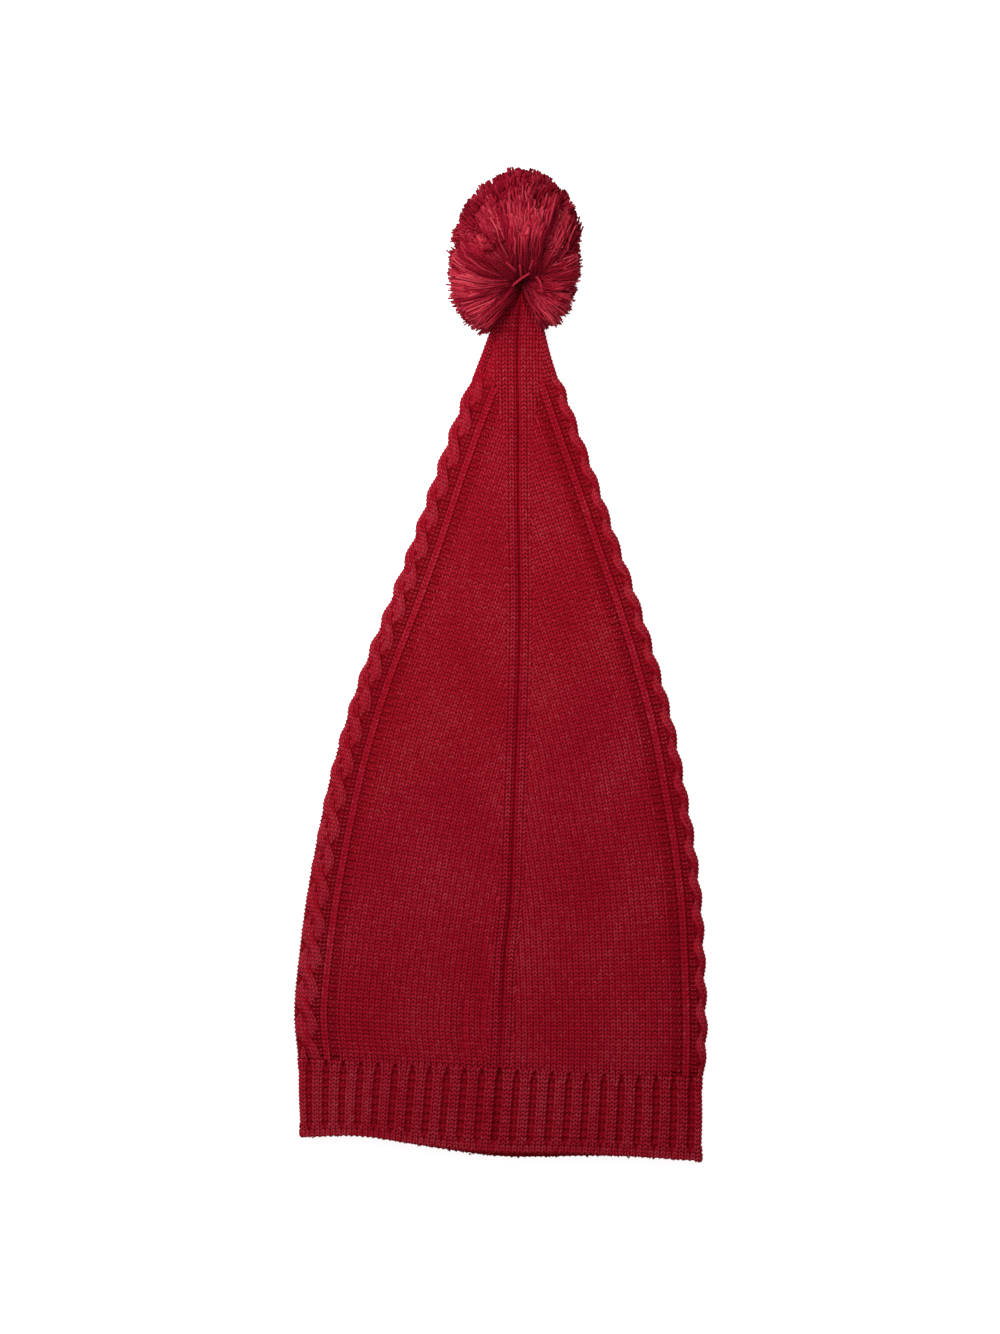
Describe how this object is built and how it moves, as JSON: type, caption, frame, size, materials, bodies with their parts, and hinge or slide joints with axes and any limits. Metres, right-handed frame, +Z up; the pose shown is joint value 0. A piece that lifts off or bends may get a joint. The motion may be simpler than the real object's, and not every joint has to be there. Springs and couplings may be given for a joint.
{
  "type": "knitted elf hat",
  "caption": "Long pointed knitted hat lying flat on its front, with a ribbed cuff, a rope cable along each folded edge, a back seam and a yarn pompom at the tip.",
  "frame": {"origin": "middle of the hat's box, on the surface that it lies on", "axes": "+Y from the cuff to the tip, +Z up from the surface, +X to the right of the hat as it lies with its back seam up"},
  "size_m": [0.2347, 0.5615, 0.0628],
  "materials": {
    "body_knit": "matt red yarn in plain knit with rope cables",
    "rib_knit": "matt red yarn in rib knit",
    "pompom_yarn": "cut ends of matt red yarn"
  },
  "bodies": {
    "root": {"crown": "body_knit", "rib_cuff": "rib_knit", "pompom": "pompom_yarn"}
  },
  "joints": []
}
